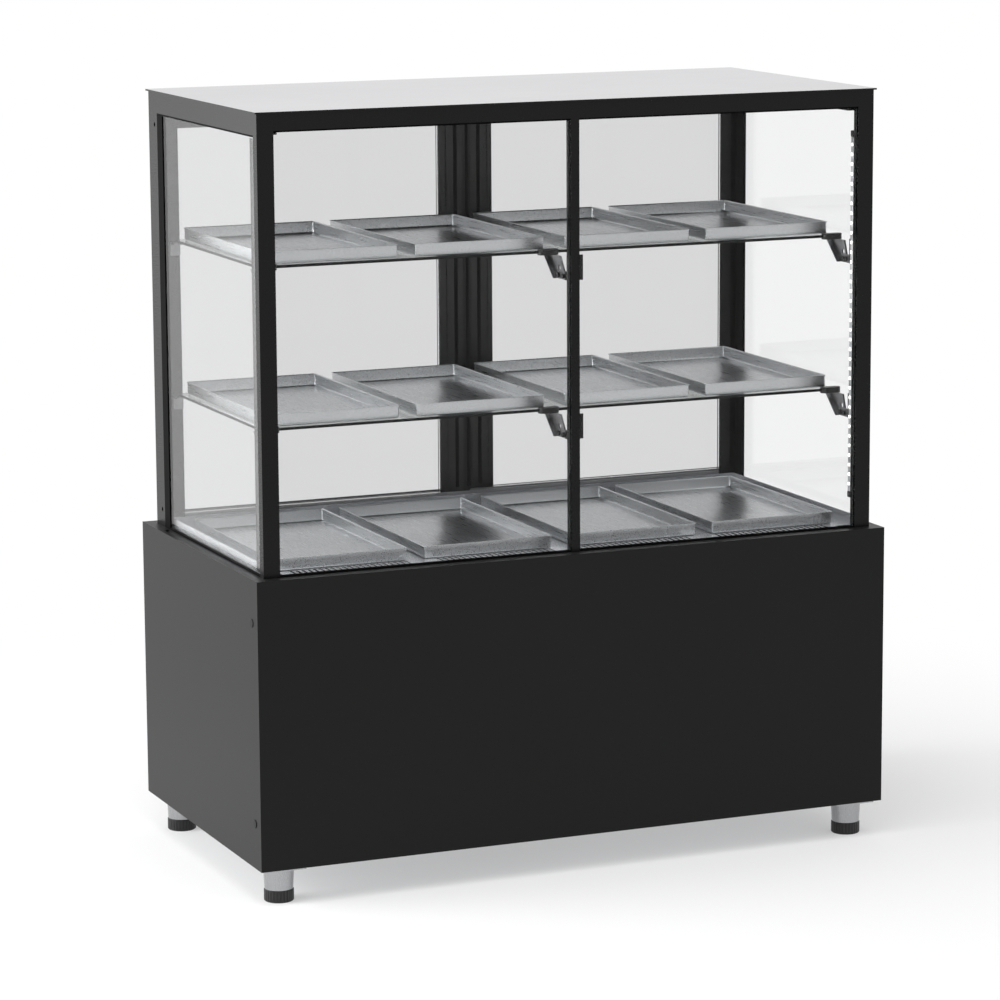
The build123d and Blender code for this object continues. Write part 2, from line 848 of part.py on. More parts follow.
def led_strip():
    """The left light strip: a bar on the back of the post with a row of lamps that face inwards."""
    z0, z1 = rim_top + led_bottom_margin, front_rail_bottom - led_top_margin
    y0, y1 = front_post_rear, front_post_rear + led_width
    face = -post_inner
    board = block(face - led_body, face, y0, y1, z0, z1)
    middle = (y0 + y1) / 2
    half = led_chip / 2
    count = int((z1 - z0 - led_chip) / led_pitch)
    first = (z0 + z1) / 2 - (count - 1) * led_pitch / 2
    chips = []
    for index in range(count):
        z = first + index * led_pitch
        chips.append(block(face, face + led_chip_height, middle - half, middle + half, z - half, z + half))
    return board + chips


# Refrigeration set

def coil_row_level(z0, height, row):
    """The level of one row of a coil's tubes, counted from the lowest."""
    return z0 + height * (row + 0.5) / coil_rows


def finned_coil(x0, width, y0, depth, z0, height, fin_pitch):
    """Fins on level tubes between two end plates."""
    x1, y1, z1 = x0 + width, y0 + depth, z0 + height
    pieces = [block(x0, x0 + coil_end_plate, y0, y1, z0, z1)]
    pieces.append(block(x1 - coil_end_plate, x1, y0, y1, z0, z1))
    fins = int((width - 2 * coil_end_plate) / fin_pitch)
    for index in range(fins):
        x = x0 + width * (index + 0.5) / fins
        pieces.append(block(x - fin_sheet / 2, x + fin_sheet / 2, y0, y1, z0, z1))
    for row in range(coil_rows):
        for y in (y0 + coil_tube_setback, y1 - coil_tube_setback):
            pieces.append(rod_x(coil_tube_radius, x0, x1, y, coil_row_level(z0, height, row)))
    return pieces[0].fuse(*pieces[1:])


def condenser_left():
    return -half_width + condenser_left_gap


def condenser_front():
    return rear_panel_inner - condenser_rear_gap - condenser_depth


def condenser_coil():
    return finned_coil(condenser_left(), condenser_width, condenser_front(), condenser_depth, floor_top,
                       condenser_height, condenser_fin_pitch)


def evaporator_front():
    return opening_rear - evaporator_rear_gap - evaporator_depth


def evaporator_coil():
    return finned_coil(-evaporator_width / 2, evaporator_width, evaporator_front(), evaporator_depth,
                       well_floor_top, evaporator_height, evaporator_fin_pitch)


def fan_places():
    """Each fan's centre in X and Z, its blade radius and the front face of the coil that it blows through."""
    return {
        "condenser": (condenser_left() + condenser_width / 2, floor_top + condenser_height / 2,
                      condenser_fan_radius, condenser_front()),
        "evaporator": (0, well_floor_top + evaporator_height / 2, evaporator_fan_radius, evaporator_front()),
    }


def shroud_sizes():
    """The width and the height of each fan's shroud."""
    return {
        "condenser": (condenser_width, condenser_height),
        "evaporator": (evaporator_shroud_width, evaporator_height),
    }


def fan_shroud(name):
    """A plate with a round throat on the coil's face, and the motor on a strut."""
    x, z, radius, coil_face = fan_places()[name]
    width, height = shroud_sizes()[name]
    x0, x1, z0, z1 = x - width / 2, x + width / 2, z - height / 2, z + height / 2
    plate_rear = coil_face - shroud_spacer
    plate_front = plate_rear - shroud_plate
    plate = block(x0, x1, plate_front, plate_rear, z0, z1)
    plate -= rod_y(radius + fan_tip_gap, plate_front, plate_rear, x, z)
    rim = block(x0, x1, plate_rear, coil_face, z0, z1)
    rim -= block(x0 + sheet, x1 - sheet, plate_rear, coil_face, z0 + sheet, z1 - sheet)
    motor_rear = plate_front - 2 * radius * fan_depth_share
    motor_front = motor_rear - motor_depth
    motor = rod_y(radius * fan_hub_radius_share, motor_front, motor_rear, x, z)
    low, high = z - motor_strut_height / 2, z + motor_strut_height / 2
    strut = block(x0, x1, motor_front, motor_front + motor_strut_depth, low, high)
    leg = block(x0, x0 + sheet, motor_front, plate_rear, low, high)
    other = Pos(width - sheet, 0, 0) * leg
    shaft_bore = rod_y(fan_shaft_radius + fan_shaft_gap, motor_front + motor_strut_depth, motor_rear, x, z)
    return plate + rim + motor + strut + leg + other - shaft_bore


def fan(name):
    """A hub with pitched blades on its shaft, which runs in the motor."""
    x, z, radius, coil_face = fan_places()[name]
    plate_front = coil_face - shroud_spacer - shroud_plate
    depth = 2 * radius * fan_depth_share
    hub_radius = radius * fan_hub_radius_share
    hub_y0, hub_y1 = plate_front - depth + sliding_gap, plate_front - sliding_gap
    hub = rod_y(hub_radius, hub_y0, hub_y1, x, z)
    shaft_end = plate_front - depth - motor_depth + motor_strut_depth + sliding_gap
    shaft = rod_y(fan_shaft_radius, shaft_end, hub_y0, x, z)
    root = hub_radius - fan_blade_root
    span = radius - root
    chord = fan_blade_chord_share * (hub_y1 - hub_y0) / cos(radians(fan_blade_pitch))
    plain = Rot(90 - fan_blade_pitch, 0, 0) * Box(span, fan_blade_thickness, chord)
    plain = Pos(root + span / 2, 0, 0) * plain
    round_tip = Rot(90, 0, 0) * Cylinder(radius, 2 * chord)
    blades = []
    for index in range(fan_blades):
        blade = Rot(0, 360 * index / fan_blades, 0) * plain
        blades.append(Pos(x, (hub_y0 + hub_y1) / 2, z) * (blade & round_tip))
    return hub + shaft + blades


def compressor_base_bottom():
    return floor_top + mount_height


def compressor():
    """A hermetic shell with domed ends on its base plate, and a terminal box."""
    base_z = compressor_base_bottom()
    half = compressor_base_size / 2
    base = block(compressor_x - half, compressor_x + half, compressor_y - half, compressor_y + half,
                 base_z, base_z + compressor_base_plate)
    shell = rod_z(compressor_radius, base_z, base_z + compressor_height, compressor_x, compressor_y)
    shell = fillet(shell.edges().filter_by(GeomType.CIRCLE).sort_by(Axis.Z)[-1], compressor_dome)
    box_x = compressor_x + compressor_radius + terminal_box_reach
    box_z = base_z + terminal_box_rise
    half = terminal_box_width / 2
    box = block(box_x - terminal_box_depth, box_x, compressor_y - half, compressor_y + half,
                box_z, box_z + terminal_box_height)
    return base + shell + box


def compressor_mounts():
    """Four rubber feet under the compressor's base plate."""
    reach = compressor_base_size / 2 - mount_radius - sliding_gap
    spots = [(compressor_x + sx * reach, compressor_y + sy * reach) for sx in (-1, 1) for sy in (-1, 1)]
    return group([rod_z(mount_radius, floor_top, compressor_base_bottom(), x, y) for x, y in spots])


def pipe_holes():
    """Where the two pipes go through the floor of the well."""
    x = evaporator_width / 2 + 2 * pipe_bend
    y = evaporator_front()
    return [(x, y + coil_tube_setback), (x, y + evaporator_depth - coil_tube_setback)]


def pipe(*points):
    """A round pipe along straight runs with tangent bends."""
    path = FilletPolyline(*points, radius=pipe_bend)
    section = Plane(origin=path @ 0, z_dir=path % 0) * Circle(pipe_radius)
    return sweep(section, path=path)


def refrigerant_pipes():
    """Discharge to the condenser, liquid to the evaporator and suction back to the compressor."""
    (hole_x, low_y), (_, high_y) = pipe_holes()
    coil_end = evaporator_width / 2
    condenser_end = condenser_left() + condenser_width
    shell_top = compressor_base_bottom() + compressor_height
    rise = 2 * pipe_bend + pipe_straight
    discharge_x = hole_x - pipe_bend - pipe_straight
    turn_x = condenser_end + rise + pipe_straight
    condenser_y = condenser_front() + coil_tube_setback
    over_z = shell_top + rise
    under_z = well_floor_top - well_wall - rise
    high_z = coil_row_level(floor_top, condenser_height, 2)
    low_z = coil_row_level(floor_top, condenser_height, 0)
    upper_z = coil_row_level(well_floor_top, evaporator_height, 2)
    lower_z = coil_row_level(well_floor_top, evaporator_height, 1)
    discharge = pipe(
        (discharge_x, compressor_y, shell_top),
        (discharge_x, compressor_y, over_z),
        (turn_x, compressor_y, over_z),
        (turn_x, condenser_y, over_z),
        (turn_x, condenser_y, high_z),
        (condenser_end, condenser_y, high_z),
    )
    liquid = pipe(
        (condenser_end, condenser_y, low_z),
        (hole_x, condenser_y, low_z),
        (hole_x, condenser_y, under_z),
        (hole_x, high_y, under_z),
        (hole_x, high_y, upper_z),
        (coil_end, high_y, upper_z),
    )
    suction = pipe(
        (coil_end, low_y, lower_z),
        (hole_x, low_y, lower_z),
        (hole_x, low_y, over_z),
        (hole_x, compressor_y, over_z),
        (hole_x, compressor_y, shell_top),
    )
    return group([discharge, liquid, suction])


# Rear panel fittings

def controller_level():
    return rim_top - controller_drop


def controller_cut(gap):
    """The body of the controller, larger all round by a gap."""
    x = controller_width / 2 - controller_lip + gap
    z = controller_height / 2 - controller_lip + gap
    middle = controller_level()
    return block(controller_x - x, controller_x + x, rear_panel_inner, rear_panel_outer,
                 middle - z, middle + z)


def controller():
    """The thermostat: a flat face on the rear panel and its body behind."""
    x, z = controller_width / 2, controller_height / 2
    middle = controller_level()
    face = block(controller_x - x, controller_x + x, rear_panel_outer, rear_panel_outer + controller_bezel,
                 middle - z, middle + z)
    face = fillet(face.edges().filter_by(Axis.Y), controller_corner_radius)
    x, z = x - controller_lip, z - controller_lip
    body = block(controller_x - x, controller_x + x, rear_panel_outer - controller_depth, rear_panel_outer,
                 middle - z, middle + z)
    face_y = rear_panel_outer + controller_bezel
    window = block(controller_x - x, controller_x + x - controller_keys_width,
                   face_y - controller_window_depth, face_y,
                   middle - z + controller_lip, middle + z - controller_lip)
    return face + body - window


def switch_x():
    return controller_x - controller_width / 2 - switch_gap - switch_bezel_width / 2


def rocker_pivot():
    """The rocker's hinge line: X axis, at this Y and Z."""
    return rear_panel_outer + controller_bezel - rocker_depth / 2, controller_level()


def switch_cut(gap):
    """The opening in the rear panel for the switch body."""
    x = switch_bezel_width / 2 - sheet + gap
    z = switch_bezel_height / 2 - sheet + gap
    middle = controller_level()
    return block(switch_x() - x, switch_x() + x, rear_panel_inner, rear_panel_outer, middle - z, middle + z)


def switch_housing():
    """The bezel and body round the rocker."""
    x, z = switch_bezel_width / 2, switch_bezel_height / 2
    middle = controller_level()
    centre = switch_x()
    face_y = rear_panel_outer + controller_bezel
    bezel = block(centre - x, centre + x, rear_panel_outer, face_y, middle - z, middle + z)
    x, z = x - sheet, z - sheet
    back = face_y - switch_body_depth
    body = block(centre - x, centre + x, back, rear_panel_outer, middle - z, middle + z)
    swing = rocker_height / 2 + rocker_depth * sin(radians(rocker_tilt)) + rocker_play
    half = rocker_width / 2 + rocker_play
    cavity = block(centre - half, centre + half, back + sheet, face_y, middle - swing, middle + swing)
    pivot_y, pivot_z = rocker_pivot()
    pin = rod_x(rocker_pin_radius, centre - half, centre + half, pivot_y, pivot_z)
    return bezel + body - cavity + pin


def light_switch():
    """The rocker, tipped to its off side at rest, drilled for its pin."""
    pivot_y, pivot_z = rocker_pivot()
    half_z, half_y = rocker_height / 2, rocker_depth / 2
    dip = half_z * sin(radians(rocker_tilt))
    points = [(-half_y, -half_z), (half_y, -half_z), (half_y - dip, 0), (half_y, half_z), (-half_y, half_z)]
    outline = Polyline(*[(0, y, z) for y, z in points], close=True)
    rocker = extrude(Face(Wire(outline.edges())), rocker_width / 2, dir=(1, 0, 0), both=True)
    rocker -= rod_x(rocker_pin_radius + fan_shaft_gap, -rocker_width, rocker_width, 0, 0)
    return Pos(switch_x(), pivot_y, pivot_z) * Rot(rocker_tilt, 0, 0) * rocker


def inlet_level():
    return cabinet_bottom + inlet_rise


def inlet_cut(gap):
    x = inlet_width / 2 - inlet_lip + gap
    z = inlet_height / 2 - inlet_lip + gap
    middle = inlet_level()
    return block(controller_x - x, controller_x + x, rear_panel_inner, rear_panel_outer,
                 middle - z, middle + z)


def power_inlet():
    """The mains inlet: a bezel, a body with an open socket and three pins."""
    x, z = inlet_width / 2, inlet_height / 2
    middle = inlet_level()
    face_y = rear_panel_outer + inlet_bezel
    bezel = block(controller_x - x, controller_x + x, rear_panel_outer, face_y, middle - z, middle + z)
    bezel = fillet(bezel.edges().filter_by(Axis.Y), inlet_lip)
    x, z = x - inlet_lip, z - inlet_lip
    body = block(controller_x - x, controller_x + x, face_y - inlet_depth, rear_panel_outer,
                 middle - z, middle + z)
    x, z = x - inlet_side_wall, z - inlet_top_wall
    floor = face_y - inlet_cavity_depth
    cavity = block(controller_x - x, controller_x + x, floor, face_y, middle - z, middle + z)
    pins = []
    for step in (-1, 0, 1):
        pin_x = controller_x + step * inlet_pin_pitch
        pin_z = middle + (inlet_pin_height / 2 if step == 0 else 0)
        half, half_z = inlet_pin_width / 2, inlet_pin_height / 2
        pins.append(block(pin_x - half, pin_x + half, floor, floor + inlet_pin_length,
                          pin_z - half_z, pin_z + half_z))
    return bezel + body - cavity + pins


# Screws

def mullion_screw_levels():
    return rim_top + mullion_screw_low, rim_top + mullion_screw_high


def domed_head(radius, height):
    """A low round head that stands on the XY plane."""
    head = Pos(0, 0, height / 2) * Cylinder(radius, height)
    return fillet(head.edges().filter_by(GeomType.CIRCLE).sort_by(Axis.Z)[-1], height * screw_dome_share)


def panel_screws():
    """Screw heads on the side panels, round the rear panel and on the mullion."""
    side_head = domed_head(side_screw_radius, side_screw_head)
    side_y = front + side_screw_front_inset
    side_levels = (rim_top - side_screw_top_inset, cabinet_bottom + side_screw_bottom_inset)
    heads = []
    for z in side_levels:
        heads += both_sides(Pos(-half_width, side_y, z) * Rot(0, -90, 0) * side_head)
    rear_head = domed_head(rear_screw_radius, side_screw_head)
    rear_x = half_width - rear_screw_side_inset
    rear_step = 2 * rear_x / (rear_screw_columns - 1)
    for z in (cabinet_bottom + rear_screw_inset, rim_underside - rear_screw_inset):
        for column in range(rear_screw_columns):
            heads.append(Pos(-rear_x + rear_step * column, rear_panel_outer, z) * Rot(-90, 0, 0) * rear_head)
    head_front, shank_end = frame_front - mullion_screw_head, frame_front + tube_wall
    for z in mullion_screw_levels():
        heads.append(rod_y(mullion_screw_radius - thread_gap, head_front, shank_end, 0, z))
    return group(heads)


def build():
    """Every node of the case by name."""
    nodes = {
        "base_floor_pan": floor_pan(),
        "base_front_panel": front_panel(),
        "base_left_panel": left_panel(),
        "base_right_panel": left_panel().mirror(Plane.YZ),
        "base_rear_panel": rear_panel(),
        "base_top_rim": top_rim(),
        "cooling_well": cooling_well(),
        "display_deck": display_deck(),
        "leg_sleeves": group([leg_sleeve(x, y) for x, y in leg_places().values()]),
        "front_post_left": front_post(),
        "front_post_right": front_post().mirror(Plane.YZ),
        "rear_post_left": rear_post(),
        "rear_post_right": rear_post().mirror(Plane.YZ),
        "centre_mullion": centre_mullion(),
        "front_top_rail": front_top_rail(),
        "side_top_rails": group(both_sides(side_top_rail())),
        "rear_top_rail": rear_top_rail(),
        "top_panel": top_panel(),
        "front_glass": group(both_sides(front_pane())),
        "side_glass": group(both_sides(side_pane())),
        "glass_seals": glass_seals(),
        "door_tracks": group([bottom_track(), top_track()]),
        "left_door_frame": door_frame(-1),
        "left_door_glass": door_glass(-1),
        "right_door_frame": door_frame(1),
        "right_door_glass": door_glass(1),
        "light_strips": group(both_sides(led_strip())),
        "evaporator_coil": evaporator_coil(),
        "condenser_coil": condenser_coil(),
        "fan_shrouds": group([fan_shroud("condenser"), fan_shroud("evaporator")]),
        "condenser_fan": fan("condenser"),
        "evaporator_fan": fan("evaporator"),
        "compressor": compressor(),
        "compressor_mounts": compressor_mounts(),
        "refrigerant_pipes": refrigerant_pipes(),
        "controller": controller(),
        "switch_housing": switch_housing(),
        "light_switch": light_switch(),
        "power_inlet": power_inlet(),
        "panel_screws": panel_screws(),
    }
    for corner, (x, y) in leg_places().items():
        nodes["levelling_foot_" + corner] = levelling_foot(x, y)
    arms, clips = [], []
    for tier in shelf_tops:
        nodes[tier + "_shelf_glass"] = shelf_glass(tier)
        for plate_left, plate_right, lip_side, post_back in bracket_places():
            arm_x = arm_left(plate_left, plate_right, lip_side)
            arms.append(shelf_bracket(tier, plate_left, plate_right, lip_side, post_back))
            clips.append(shelf_clip(tier, arm_x, lip_side))
            clips += bracket_bolts(tier, arm_x, lip_side, post_back)
        arms += both_sides(bracket_packer(tier))
        arms += both_sides(rear_rest(tier))
    nodes["shelf_brackets"] = group(arms)
    nodes["shelf_clips"] = group(clips)
    for tier in tiers:
        for index in range(trays_per_tier):
            nodes[f"{tier}_tray_{index + 1}"] = tray(tier, index)
    return nodes


os.makedirs("parts", exist_ok=True)
for name, shape in build().items():
    export_step(shape, f"parts/{name}.step")
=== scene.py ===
from math import cos, pi, radians, sin

import bmesh
import bpy
from mathutils import Matrix, Vector


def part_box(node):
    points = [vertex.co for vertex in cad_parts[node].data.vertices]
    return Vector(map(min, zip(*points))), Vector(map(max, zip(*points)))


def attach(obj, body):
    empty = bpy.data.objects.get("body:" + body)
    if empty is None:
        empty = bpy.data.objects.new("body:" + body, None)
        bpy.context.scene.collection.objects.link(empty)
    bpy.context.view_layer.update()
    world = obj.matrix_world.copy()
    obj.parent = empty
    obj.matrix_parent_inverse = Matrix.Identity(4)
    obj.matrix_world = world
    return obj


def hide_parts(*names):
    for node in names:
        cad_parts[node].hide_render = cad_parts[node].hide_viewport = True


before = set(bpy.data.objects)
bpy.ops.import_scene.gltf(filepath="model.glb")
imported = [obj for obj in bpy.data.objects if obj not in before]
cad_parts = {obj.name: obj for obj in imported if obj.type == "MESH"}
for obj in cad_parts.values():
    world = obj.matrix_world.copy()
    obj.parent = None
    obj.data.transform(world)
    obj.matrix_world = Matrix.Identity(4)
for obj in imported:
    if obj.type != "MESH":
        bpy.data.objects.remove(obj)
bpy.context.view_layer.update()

MM = 0.001

# Camera, fitted to the corners of the case in the photograph
CAMERA_PLACE = (-2.7987, -6.5316, 1.9023)
CAMERA_YAW = -22.716
CAMERA_ROLL = 4.298
CAMERA_PITCH = -9.323
FOCAL_PIXELS = 3980.2
IMAGE_PIXELS = 1000
SENSOR_MM = 36.0

# Light
WORLD_LIGHT = 0.7
BACKGROUND_WHITE = 1.0


def srgb(*levels):
    """Linear colour from 0 to 255 screen levels."""
    return tuple((level / 255 / 12.92) if level <= 10 else ((level / 255 + 0.055) / 1.055) ** 2.4
                 for level in levels)


# Materials

BRUSH_X = (0.02, 1, 1)
BRUSH_Y = (1, 0.02, 1)
BRUSH_Z = (1, 1, 0.02)
EDGE_FACING = 0.7


def new_material(name):
    """An empty node material with one Principled shader."""
    material = bpy.data.materials.new(name)
    material.use_nodes = True
    tree = material.node_tree
    tree.nodes.clear()
    output = tree.nodes.new("ShaderNodeOutputMaterial")
    shader = tree.nodes.new("ShaderNodeBsdfPrincipled")
    tree.links.new(shader.outputs["BSDF"], output.inputs["Surface"])
    return material, tree, shader


def noise(tree, scale, stretch=(1, 1, 1), detail=3.0):
    """Noise in the frame's own metres; stretch squeezes it along an axis."""
    place = tree.nodes.new("ShaderNodeTexCoord")
    mapping = tree.nodes.new("ShaderNodeMapping")
    mapping.inputs["Scale"].default_value = stretch
    texture = tree.nodes.new("ShaderNodeTexNoise")
    texture.inputs["Scale"].default_value = scale
    texture.inputs["Detail"].default_value = detail
    tree.links.new(place.outputs["Object"], mapping.inputs["Vector"])
    tree.links.new(mapping.outputs["Vector"], texture.inputs["Vector"])
    return texture.outputs["Fac"]


def between(tree, factor, low, high):
    """A number that follows a noise from low to high."""
    node = tree.nodes.new("ShaderNodeMapRange")
    node.inputs["From Min"].default_value = 0.3
    node.inputs["From Max"].default_value = 0.7
    node.inputs["To Min"].default_value = low
    node.inputs["To Max"].default_value = high
    tree.links.new(factor, node.inputs["Value"])
    return node.outputs["Result"]


def two_tone(tree, factor, first, second):
    """A colour that follows a noise from the first to the second."""
    node = tree.nodes.new("ShaderNodeMix")
    node.data_type = "RGBA"
    node.inputs["A"].default_value = (*first, 1)
    node.inputs["B"].default_value = (*second, 1)
    tree.links.new(between(tree, factor, 0, 1), node.inputs["Factor"])
    return node.outputs["Result"]


def above(tree, value, limit):
    """1 where a value is greater than a limit, else 0."""
    node = tree.nodes.new("ShaderNodeMath")
    node.operation = "GREATER_THAN"
    node.inputs[1].default_value = limit
    tree.links.new(value, node.inputs[0])
    return node.outputs["Value"]


def axes_of(tree, vector):
    """The X, Y and Z of a vector."""
    node = tree.nodes.new("ShaderNodeSeparateXYZ")
    tree.links.new(vector, node.inputs["Vector"])
    return node.outputs


def paint_and_shade_over_steel(tree, shader, bare, flat_colour, steel):
    """A flat colour where bare is 0 and steel where it is 1: real black paint on the bracket plates, painted
    shade on the sheet edges.
    """
    mix = tree.nodes.new("ShaderNodeMix")
    mix.data_type = "RGBA"
    mix.inputs["A"].default_value = (*flat_colour, 1)
    tree.links.new(bare, mix.inputs["Factor"])
    tree.links.new(steel, mix.inputs["B"])
    tree.links.new(mix.outputs["Result"], shader.inputs["Base Color"])


def relief(tree, height, shader, depth):
    """Fine surface relief of the given depth in metres."""
    node = tree.nodes.new("ShaderNodeBump")
    node.inputs["Strength"].default_value = 1.0
    node.inputs["Distance"].default_value = depth
    tree.links.new(height, node.inputs["Height"])
    tree.links.new(node.outputs["Normal"], shader.inputs["Normal"])


def surface(name, colour, spread=0.06, rough=(0.35, 0.45), grain=220, stretch=(1, 1, 1), depth=0.00001,
            patch=4, **constants):
    """A procedural finish: broad colour patches, fine grain in roughness and relief."""
    material, tree, shader = new_material(name)
    broad = noise(tree, patch)
    fine = noise(tree, grain, stretch)
    darker = tuple(value * (1 - spread) for value in colour)
    lighter = tuple(min(1, value * (1 + spread)) for value in colour)
    tree.links.new(two_tone(tree, broad, darker, lighter), shader.inputs["Base Color"])
    tree.links.new(between(tree, fine, *rough), shader.inputs["Roughness"])
    if depth:
        relief(tree, fine, shader, depth)
    for socket, value in constants.items():
        shader.inputs[socket.replace("_", " ")].default_value = value
    return material


def clear_glass(name, tint, bend, rough=(0.0, 0.015)):
    """Clear glass that lets the lamps light what is behind it; bend is its index of refraction."""
    material, tree, shader = new_material(name)
    tree.links.new(two_tone(tree, noise(tree, 3), tint, tuple(value * 0.995 for value in tint)),
                   shader.inputs["Base Color"])
    tree.links.new(between(tree, noise(tree, 5), *rough), shader.inputs["Roughness"])
    shader.inputs["Transmission Weight"].default_value = 1.0
    shader.inputs["IOR"].default_value = bend
    through = tree.nodes.new("ShaderNodeBsdfTransparent")
    through.inputs["Color"].default_value = (*tint, 1)
    rays = tree.nodes.new("ShaderNodeLightPath")
    mix = tree.nodes.new("ShaderNodeMixShader")
    output = next(node for node in tree.nodes if node.type == "OUTPUT_MATERIAL")
    tree.links.new(rays.outputs["Is Shadow Ray"], mix.inputs["Fac"])
    tree.links.new(shader.outputs["BSDF"], mix.inputs[1])
    tree.links.new(through.outputs["BSDF"], mix.inputs[2])
    tree.links.new(mix.outputs["Shader"], output.inputs["Surface"])
    return material


def glowing(name, colour, strength):
    """A lit lamp face, slightly uneven."""
    material, tree, shader = new_material(name)
    shade = two_tone(tree, noise(tree, 300), colour, tuple(value * 0.94 for value in colour))
    tree.links.new(shade, shader.inputs["Base Color"])
    tree.links.new(shade, shader.inputs["Emission Color"])
    shader.inputs["Emission Strength"].default_value = strength
    shader.inputs["Roughness"].default_value = 0.4
    return material


def galvanised(name):
    """Zinc-coated sheet with its spangle."""
    material, tree, shader = new_material(name)
    place = tree.nodes.new("ShaderNodeTexCoord")
    cells = tree.nodes.new("ShaderNodeTexVoronoi")
    cells.inputs["Scale"].default_value = 90
    tree.links.new(place.outputs["Object"], cells.inputs["Vector"])
    tree.links.new(two_tone(tree, cells.outputs["Distance"], srgb(168, 172, 176), srgb(196, 199, 203)),
                   shader.inputs["Base Color"])
    tree.links.new(between(tree, cells.outputs["Distance"], 0.3, 0.5), shader.inputs["Roughness"])
    shader.inputs["Metallic"].default_value = 1.0
    return material


def bracket_steel(name, plate_rear):
    """Brushed steel arms; the back plates in front of plate_rear are black."""
    material, tree, shader = new_material(name)
    place = tree.nodes.new("ShaderNodeTexCoord")
    arm = above(tree, axes_of(tree, place.outputs["Object"])["Y"], plate_rear)
    steel = two_tone(tree, noise(tree, 60, (1, 0.05, 1)), srgb(112, 112, 114), srgb(140, 140, 142))
    paint_and_shade_over_steel(tree, shader, arm, srgb(12, 12, 12), steel)
    tree.links.new(arm, shader.inputs["Metallic"])
    tree.links.new(between(tree, noise(tree, 900, BRUSH_Y), 0.3, 0.4), shader.inputs["Roughness"])
    shader.inputs["Specular IOR Level"].default_value = 0.2
    return material


def sheet_with_painted_edge_shade(name, low_tone, high_tone, metallic, rough, depth, top):
    """Sheet steel brushed along X, with painted shade (near black) on its edge faces and undersides, where
    the gaps and slots lie in shade; faces higher than top get no painted shade.
    """
    material, tree, shader = new_material(name)
    place = tree.nodes.new("ShaderNodeTexCoord")
    facing_up = above(tree, axes_of(tree, place.outputs["Normal"])["Z"], EDGE_FACING)
    over_top = above(tree, axes_of(tree, place.outputs["Object"])["Z"], top)
    either = tree.nodes.new("ShaderNodeMath")
    either.operation = "MAXIMUM"
    tree.links.new(facing_up, either.inputs[0])
    tree.links.new(over_top, either.inputs[1])
    unshaded_face = either.outputs["Value"]
    # Faces that do not face up and lie below top get near-black painted shade in place of steel.
    paint_and_shade_over_steel(tree, shader, unshaded_face, srgb(4, 4, 4), two_tone(tree, noise(tree, 4), low_tone, high_tone))
    shine = tree.nodes.new("ShaderNodeMapRange")
    shine.inputs["To Max"].default_value = metallic
    tree.links.new(unshaded_face, shine.inputs["Value"])
    tree.links.new(shine.outputs["Result"], shader.inputs["Metallic"])
    fine = noise(tree, 700, BRUSH_X)
    tree.links.new(between(tree, fine, *rough), shader.inputs["Roughness"])
    relief(tree, fine, shader, depth)
    shader.inputs["Specular IOR Level"].default_value = 0.2
    return material


PLATE_REAR = -257.9 * MM
DECK_TOP = 570.1 * MM
ROOF_TOP = 1363 * MM

